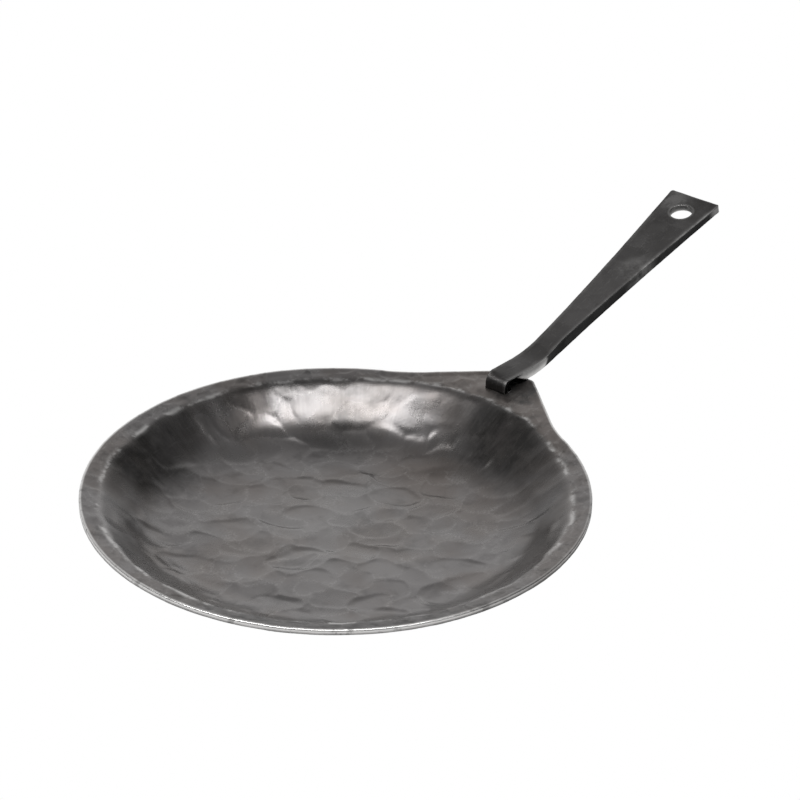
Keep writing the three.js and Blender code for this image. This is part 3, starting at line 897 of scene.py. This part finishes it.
def wall_streaks(nodes, place):
    """Fine streaks up the wall: noise that changes fast round the pan's axis and slowly away from it."""
    level = nodes.vector("MULTIPLY", place, (1, 1, 0))
    way = nodes.vector("NORMALIZE", level)
    radius = nodes.vector("LENGTH", level, output="Value")
    outward = nodes.add("ShaderNodeCombineXYZ", None, {"Z": radius})
    drawn_out = nodes.stretched(outward, (1, 1, 70))
    return nodes.noise(nodes.vector("MULTIPLY_ADD", way, (75, 75, 0), drawn_out), 1, detail=3)


def hammered_steel(look):
    """Oil-blackened steel of the dish: a floor lighter towards its middle, soot on the walls, brown by the
    tab and rubbed edges, with painted shade in the far bend, below the far crease, on the wall's back
    corners and beside the slot, painted light on the near walls, and painted glints along the crease.
    """
    material = bpy.data.materials.new("hammered_steel")
    nodes = Nodes(material)
    place = nodes.place()
    ridge, tone, rim, crease = nodes.attributes("ridge", "tone", "rim", "crease")
    wall, brim, lip, underside = nodes.attributes("wall", "brim", "lip", "underside")
    grain, scratch = steel_grain(nodes, place)
    streak = wall_streaks(nodes, place)
    cloud = nodes.noise(place, 24, detail=4)
    patch = nodes.noise(place, 75, detail=5, roughness=0.65)
    fleck = nodes.noise(place, 150, detail=3)

    near_tab = nodes.spot(place, (0.112, 0.0, 0.022), 0.02, 0.08)
    # Painted shade: dark patches on the wall beside the tab and on the far left wall, narrowing the far
    # wall's reflected highlight.
    painted_shade_by_tab = nodes.spot(place, (0.106, -0.024, 0.022), 0.012, 0.055)
    painted_shade_far_wall = nodes.spot(place, (-0.0225, 0.1135, 0.024), 0.018, 0.056)
    # Painted shade below the crease on the far wall's left part, and in the far bend, deepening its dark
    # band.
    far_brim = nodes.spot(place, (0.060, 0.086, 0.024), 0.02, 0.07)
    far_bend = nodes.spot(place, (0.0695, 0.0545, 0.004), 0.004, 0.030)
    near_lip = nodes.spot(place, (-0.093, -0.072, 0.026), 0.03, 0.13)
    # Painted shadow of the bar on the tab beside the slot.
    by_slot = nodes.spot(place, (0.138, -0.008, 0.027), 0.004, 0.021)
    # The cut edge is rubbed less along a stretch of its near right side.
    duller_edge_stretch = nodes.spot(place, (0.030, -0.120, 0.026), 0.03, 0.10)
    # The floor is lighter towards its middle.
    lighter_floor_middle = nodes.spot(place, (0.0, 0.0, 0.003), 0.02, 0.08)
    # Painted light: the near walls, away from the far wall, are lightened with bare steel colour.
    painted_light_near_walls = wall * nodes.distance(place, (0.079, 0.061, 0.0)).step(0.12, 0.18)

    brown = near_tab * (1 - wall) * 0.7 + cloud.step(0.42, 0.62) * 0.6 + tone * 0.15
    steel = nodes.mix(brown, look.oiled, look.brown)
    soot_and_shade = wall * (cloud.step(0.45, 0.68) * 0.15 + streak.step(0.40, 0.66) * 0.10)
    # Painted shade: the patches above, laid over the walls, the bend and the tab, join the soot.
    painted_shade_patches = wall * (painted_shade_far_wall + painted_shade_by_tab) + brim * far_brim * 0.7 + far_bend * 0.8 + by_slot
    soot_and_shade = soot_and_shade + painted_shade_patches * (patch.step(0.30, 0.60) * 0.3 + 0.55)
    soot_and_shade = soot_and_shade + patch.step(0.50, 0.72) * (0.32 - wall * 0.14)
    soot_and_shade = soot_and_shade + lip * (fleck.step(0.45, 0.7) * 0.30 + near_lip * 0.45)
    steel = nodes.mix(soot_and_shade * (1 - ridge * 0.2), steel, look.soot_and_painted_shade)
    # A lighter floor middle, and painted light on the near walls.
    steel = nodes.mix(tone * 0.04 + (lighter_floor_middle + painted_light_near_walls) * 0.06, steel, look.bare_and_painted_light)
    steel = nodes.mix(underside * (0.3 + patch * 0.5), steel, look.soot_and_painted_shade)
    nick = fleck.step(0.55, 0.66) * 0.45
    # Rubbed bare steel at the cut edge, less along a stretch of its near right side; along the crease it is
    # also a painted highlight, as glints.
    rubbed = rim * (1 - duller_edge_stretch * 0.65) * (1 - nick) + crease * patch.step(0.46, 0.60) * 0.5
    rubbed = rubbed + ridge * ridge * grain.step(0.35, 0.65) * (1 - wall) * 0.12 + scratch * 0.03
    steel = nodes.mix(rubbed, steel, look.bare_and_painted_light)
    rough = 0.30 + (patch - 0.5) * 0.18 + (tone - 0.5) * 0.08 - wall * 0.02
    rough = rough + lip * (1 - rim) * 0.08 + underside * 0.2
    relief = grain * 0.12 + patch * 0.8 - scratch * 0.08 + wall * streak * 0.25
    finish(nodes, steel, rough, relief, metal=0.85)
    return material


def forged_steel(look, hole, hole_radius):
    """Steel of the bar: a dressed grey top, dark scale at the sides, rubbed arrises, a filed heel, painted
    shade on the hook and a darker far grip.
    """
    material = bpy.data.materials.new("forged_bar")
    nodes = Nodes(material)
    place = nodes.place()
    ridge, tone, worn_edge, scale, filed = nodes.attributes("ridge", "tone", "worn_edge", "scale", "filed")
    grain, scratch = steel_grain(nodes, place)
    pit = nodes.noise(place, 420, detail=2).step(0.70, 0.78)
    patch = nodes.noise(place, 90, detail=5, roughness=0.65)
    cloud = nodes.noise(place, 26, detail=3)

    along = nodes.add("ShaderNodeSeparateXYZ", None, {0: place}, output="X")
    past_hole = nodes.distance(place, hole) - hole_radius
    by_hole = past_hole.step(-0.2 * MM, 0.4 * MM) * (1 - past_hole.step(0.8 * MM, 2 * MM))
    gripped_side = nodes.spot(place, (0.245, -0.008, 0.054), 0.003, 0.016)
    gripped_end = nodes.spot(place, (0.305, 0.011, 0.068), 0.003, 0.018)
    # Painted shade darkens the hook, before x 0.142 to 0.160 m; past x 0.23 m the grip is darker too, with
    # cloudy mottling.
    dark = (1 - along.step(0.142, 0.160)) * 0.35 + along.step(0.23, 0.30) * 0.36
    dark = dark + cloud.step(0.4, 0.65) * 0.45 + patch.step(0.45, 0.8) * 0.25
    steel = nodes.mix(dark, look.bar, look.soot_and_painted_shade)
    steel = nodes.mix(tone * 0.03, steel, look.bare_and_painted_light)
    steel = nodes.mix(scale * (0.93 + patch * 0.07), steel, look.scale)
    rubbed = worn_edge * (patch.step(0.38, 0.62) * 0.22 + 0.06) + by_hole * 0.16
    rubbed = rubbed + (gripped_side + gripped_end) * (patch.step(0.35, 0.60) * 0.16 + 0.02)
    rubbed = rubbed + (ridge * grain.step(0.45, 0.7) + scratch) * (1 - scale * 0.9) * 0.05
    steel = nodes.mix(rubbed, steel, look.bare_and_painted_light)
    steel = nodes.mix(filed * (0.8 + 0.2 * grain), steel, look.bare_and_painted_light)
    rough = 0.44 + (patch - 0.5) * 0.22 + (tone - 0.5) * 0.06 + pit * 0.12 + scale * 0.1 - filed * 0.1
    relief = grain * 0.3 + patch * 0.9 - pit * 0.3 - scratch * 0.1
    finish(nodes, steel, rough, relief, metal=1.0)
    return material


def finish(nodes, steel, rough, relief, metal, bump_height=0.12 * MM):
    """Ends a steel's tree: colour, roughness, relief as bumps of that height, and share of clean metal."""
    bump = nodes.add("ShaderNodeBump", None, {"Strength": 1.0, "Distance": bump_height, "Height": relief})
    sockets = {"Base Color": steel, "Roughness": rough, "Metallic": metal, "Normal": bump}
    surface = nodes.add("ShaderNodeBsdfPrincipled", None, sockets)
    nodes.add("ShaderNodeOutputMaterial", None, {"Surface": surface})


def pale_floor():
    """White paper: it shows white to the camera, and white with a shadow under the pan in the steel."""
    material = bpy.data.materials.new("pale_floor")
    nodes = Nodes(material)
    paper = nodes.add("ShaderNodeBsdfDiffuse", None, {"Color": (0.86, 0.86, 0.86, 1)})
    white = nodes.add("ShaderNodeEmission", None, {"Color": (1, 1, 1, 1), "Strength": 1.0})
    shadow = nodes.spot(nodes.place(), (0.01, 0.0, 0.0), 0.11, 0.18)
    shade = nodes.mix(shadow, (0.95, 0.95, 0.95), (0.08, 0.08, 0.08))
    dimmer = nodes.add("ShaderNodeEmission", None, {"Color": shade, "Strength": 1.0})
    seen = nodes.add("ShaderNodeLightPath", output="Is Camera Ray")
    mirrored = nodes.add("ShaderNodeLightPath", output="Is Glossy Ray")
    unseen = nodes.add("ShaderNodeMixShader", None, {0: mirrored, 1: paper, 2: dimmer})
    surface = nodes.add("ShaderNodeMixShader", None, {0: seen, 1: unseen, 2: white})
    nodes.add("ShaderNodeOutputMaterial", None, {"Surface": surface})
    return material


def studio_world(world, room, right, level):
    """White to the camera. To everything else: a dim room, lit white behind the pan and above the camera.

    The backdrop ends where its height, its place to the right or left, and its place ahead of the camera,
    each as a share of the direction's length, leave their limits.
    """
    nodes = Nodes(world)
    direction = nodes.add("ShaderNodeTexCoord", output="Generated")
    height = nodes.add("ShaderNodeSeparateXYZ", None, {0: direction}, output="Z")
    side = nodes.vector("DOT_PRODUCT", direction, right, output="Value")
    ahead = nodes.vector("DOT_PRODUCT", direction, level, output="Value")
    backdrop = (1 - height.step(0.35, 1.10)) * ahead.step(-0.3, 0.2)
    backdrop = backdrop * (1 - side.step(0.16, 0.80)) * side.step(-0.95, -0.12)
    backdrop = backdrop * (0.7 + 0.3 * height.step(0.0, 0.25))
    behind = height.step(0.55, 0.80) * (1 - ahead.step(-0.70, -0.40))
    shade = nodes.mix(backdrop + behind * 0.6, (room, room, room), (1.0, 1.0, 1.0))
    dome = nodes.add("ShaderNodeBackground", None, {"Color": shade, "Strength": 1.0})
    white = nodes.add("ShaderNodeBackground", None, {"Color": (1, 1, 1, 1), "Strength": 1.0})
    seen = nodes.add("ShaderNodeLightPath", output="Is Camera Ray")
    sky = nodes.add("ShaderNodeMixShader", None, {0: seen, 1: dome, 2: white})
    nodes.add("ShaderNodeOutputWorld", None, {"Surface": sky})


def view_axes(studio):
    """The camera's right, up and forward directions before its roll."""
    turn = studio.azimuth
    level = Vector((-np.sin(turn), np.cos(turn), 0))
    right = Vector((np.cos(turn), np.sin(turn), 0))
    upright = Vector((0, 0, 1))
    forward = level * np.cos(studio.elevation) - upright * np.sin(studio.elevation)
    up = level * np.sin(studio.elevation) + upright * np.cos(studio.elevation)
    return right, up, forward


def frame_of(place, right, up):
    """The matrix of a camera or lamp at a place, which looks against the cross of right and up."""
    back = right.cross(up)
    return Matrix.Translation(place) @ Matrix((right, up, back)).transposed().to_4x4()


def add_softbox(scene, rim_centre, right, level):
    """A wide soft light above the pan, turned to the rim's centre."""
    studio = scene.studio_sizes
    softbox = bpy.data.lights.new("softbox", "AREA")
    softbox.shape = "RECTANGLE"
    softbox.size = studio.box_width
    softbox.size_y = studio.box_depth
    softbox.energy = studio.box_power
    lamp = bpy.data.objects.new("softbox", softbox)
    place = Vector((0, 0, studio.box_height)) - level * studio.box_forward + right * studio.box_right
    depth_way = (place - rim_centre).cross(right).normalized()
    lamp.matrix_world = frame_of(place, right, depth_way)
    scene.collection.objects.link(lamp)


def add_camera(scene, rim_centre, right, up, forward):
    """The camera, rolled about its own axis, with the rim's centre at its pixel and its depth."""
    studio = scene.studio_sizes
    camera = bpy.data.cameras.new("camera")
    camera.lens = studio.lens
    camera.sensor_width = SENSOR_MM
    eye = bpy.data.objects.new("camera", camera)
    pixel = studio.distance * SENSOR_MM / studio.lens / FRAME_PIXELS
    aside = (studio.rim_pixel_x - FRAME_PIXELS / 2) * pixel
    above = (FRAME_PIXELS / 2 - studio.rim_pixel_y) * pixel
    place = rim_centre - right * aside - up * above - forward * studio.distance
    rolled_right = right * np.cos(studio.roll) + up * np.sin(studio.roll)
    rolled_up = up * np.cos(studio.roll) - right * np.sin(studio.roll)
    eye.matrix_world = frame_of(place, rolled_right, rolled_up)
    scene.collection.objects.link(eye)
    scene.camera = eye


class PAN_OT_hammer_dish(bpy.types.Operator):
    """Makes the hammered dish with its lip, tab and slot"""

    bl_idname = "pan.hammer_dish"
    bl_label = "Hammer the dish"

    def execute(self, context):
        pan = context.scene.pan_sizes
        piece = new_piece("hammered_dish", *hammered_sheet(pan))
        cut_away(piece, *rounded_slot(pan))
        piece.data.materials.append(hammered_steel(context.scene.steel_look))
        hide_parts("pan_body")
        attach(piece, "pan")
        return {"FINISHED"}


class PAN_OT_forge_handle(bpy.types.Operator):
    """Makes the forged handle with its hook, heel, grip and hanging hole"""

    bl_idname = "pan.forge_handle"
    bl_label = "Forge the handle"

    def execute(self, context):
        pan = context.scene.pan_sizes
        bar = context.scene.handle_sizes
        piece = new_piece("forged_handle", *forged_bar(bar, pan.tab_end, pan.rim_height))
        cut_away(piece, *hole_cutter(bar, pan.tab_end, pan.rim_height))
        hole, _, _ = hole_place(bar, pan.tab_end, pan.rim_height)
        piece.data.materials.append(forged_steel(context.scene.steel_look, hole, bar.hole_diameter / 2))
        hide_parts("hook_handle")
        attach(piece, "handle")
        return {"FINISHED"}


class PAN_OT_set_stage(bpy.types.Operator):
    """Sets the pale floor, the soft light and the camera"""

    bl_idname = "pan.set_stage"
    bl_label = "Set the stage"

    def execute(self, context):
        scene = context.scene
        studio = scene.studio_sizes
        scene.view_settings.view_transform = "Standard"
        half = studio.floor_width / 2
        corners = np.array([[-half, -half, 0], [half, -half, 0], [half, half, 0], [-half, half, 0]])
        floor = new_piece("floor", corners, [[0, 1, 2, 3]])
        floor.data.materials.append(pale_floor())

        right, up, forward = view_axes(studio)
        level = Vector((forward.x, forward.y, 0)).normalized()
        scene.world = scene.world or bpy.data.worlds.new("studio")
        studio_world(scene.world, studio.room, right, level)
        rim_centre = Vector((0, 0, scene.pan_sizes.rim_height))
        add_softbox(scene, rim_centre, right, level)
        add_camera(scene, rim_centre, right, up, forward)
        return {"FINISHED"}


class PAN_PT_sidebar(bpy.types.Panel):
    """Lists the pan's steps and sizes"""

    bl_idname = "PAN_PT_sidebar"
    bl_label = "Camping frying pan"
    bl_space_type = "VIEW_3D"
    bl_region_type = "UI"
    bl_category = "Pan"

    def draw(self, context):
        for operator in OPERATORS:
            self.layout.operator(operator.bl_idname)
        for name, group in GROUPS.items():
            box = self.layout.box()
            box.label(text=group.__doc__)
            for key in group.__annotations__:
                box.prop(getattr(context.scene, name), key)


GROUPS = {
    "pan_sizes": PanSizes,
    "handle_sizes": HandleSizes,
    "steel_look": SteelLook,
    "studio_sizes": StudioSizes,
}
OPERATORS = (PAN_OT_set_stage, PAN_OT_hammer_dish, PAN_OT_forge_handle)
CLASSES = (*GROUPS.values(), *OPERATORS, PAN_PT_sidebar)


def register():
    for cls in CLASSES:
        bpy.utils.register_class(cls)
    for name, group in GROUPS.items():
        setattr(bpy.types.Scene, name, PointerProperty(type=group))


def unregister():
    for name in GROUPS:
        delattr(bpy.types.Scene, name)
    for cls in reversed(CLASSES):
        bpy.utils.unregister_class(cls)


def main():
    register()
    bpy.ops.pan.set_stage()
    bpy.ops.pan.hammer_dish()
    bpy.ops.pan.forge_handle()


if __name__ == "__main__":
    main()
